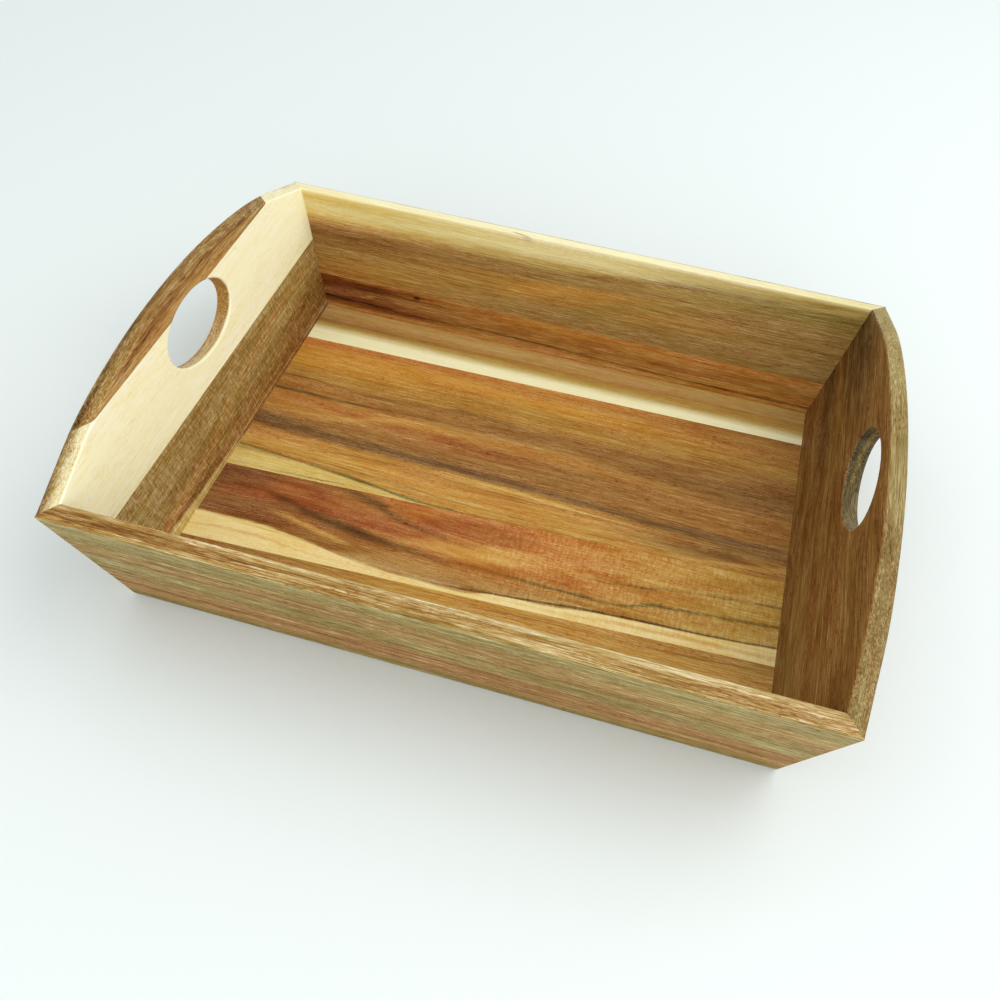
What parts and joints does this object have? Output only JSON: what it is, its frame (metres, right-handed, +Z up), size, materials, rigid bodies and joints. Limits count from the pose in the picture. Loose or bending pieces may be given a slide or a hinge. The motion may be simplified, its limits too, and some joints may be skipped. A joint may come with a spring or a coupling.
{
  "type": "serving tray",
  "caption": "Flared rectangular wooden serving tray with mitred corners, arched ends and an oval hand hole in each end.",
  "frame": {"origin": "on the surface that the tray stands on, under the middle of the tray", "axes": "+Z up, +X along the tray to the right end board, +Y across the tray to the rear wall"},
  "size_m": [0.4582, 0.3366, 0.1282],
  "materials": {
    "floor_front_wood": "satin oiled",
    "floor_heart_wood": "satin oiled",
    "floor_wide_wood": "satin oiled",
    "floor_rear_wood": "satin oiled",
    "front_lower_wood": "satin oiled",
    "front_upper_wood": "satin oiled",
    "rear_lower_wood": "satin oiled",
    "rear_upper_wood": "satin oiled",
    "left_lower_wood": "satin oiled",
    "left_sapwood": "satin oiled",
    "left_cap_wood": "satin oiled",
    "right_end_wood": "satin oiled",
    "spline_wood": "bare"
  },
  "bodies": {
    "root": {"floor_stave_front": "floor_front_wood", "floor_stave_heartwood": "floor_heart_wood", "floor_stave_wide": "floor_wide_wood", "floor_stave_rear": "floor_rear_wood", "front_wall_lower_stave": "front_lower_wood", "front_wall_upper_stave": "front_upper_wood", "rear_wall_lower_stave": "rear_lower_wood", "rear_wall_upper_stave": "rear_upper_wood", "left_end_lower_stave": "left_lower_wood", "left_end_middle_stave": "left_sapwood", "left_end_cap_stave": "left_cap_wood", "right_end_board": "right_end_wood", "corner_spline_front_left": "spline_wood", "corner_spline_front_right": "spline_wood", "corner_spline_rear_left": "spline_wood", "corner_spline_rear_right": "spline_wood"}
  },
  "joints": []
}
